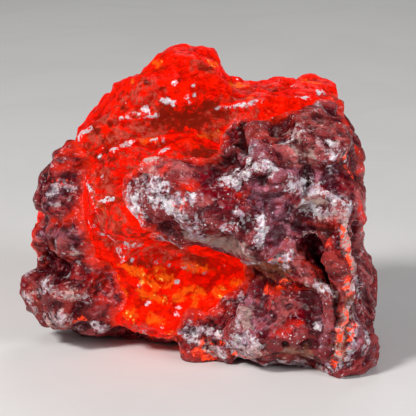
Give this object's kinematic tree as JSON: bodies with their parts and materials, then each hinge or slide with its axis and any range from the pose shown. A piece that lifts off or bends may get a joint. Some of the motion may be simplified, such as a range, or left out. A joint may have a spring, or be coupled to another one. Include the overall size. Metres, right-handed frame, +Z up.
{
  "type": "mineral specimen",
  "caption": "Broken cabinet-size stone of clear orange-red sphalerite in a dull purple-brown matrix, resting on its flat underside.",
  "frame": {"origin": "under the middle of the stone, on the surface that it rests on", "axes": "+X along the stone's width, +Y away from its front, +Z up"},
  "size_m": [0.045, 0.0302, 0.0371],
  "materials": {
    "matrix": "rough purple-brown host rock with a cream and lavender crust",
    "sphalerite": "clear orange-red mineral with a bright resinous lustre"
  },
  "bodies": {
    "root": {"matrix": "matrix", "sphalerite": "sphalerite"}
  },
  "joints": []
}
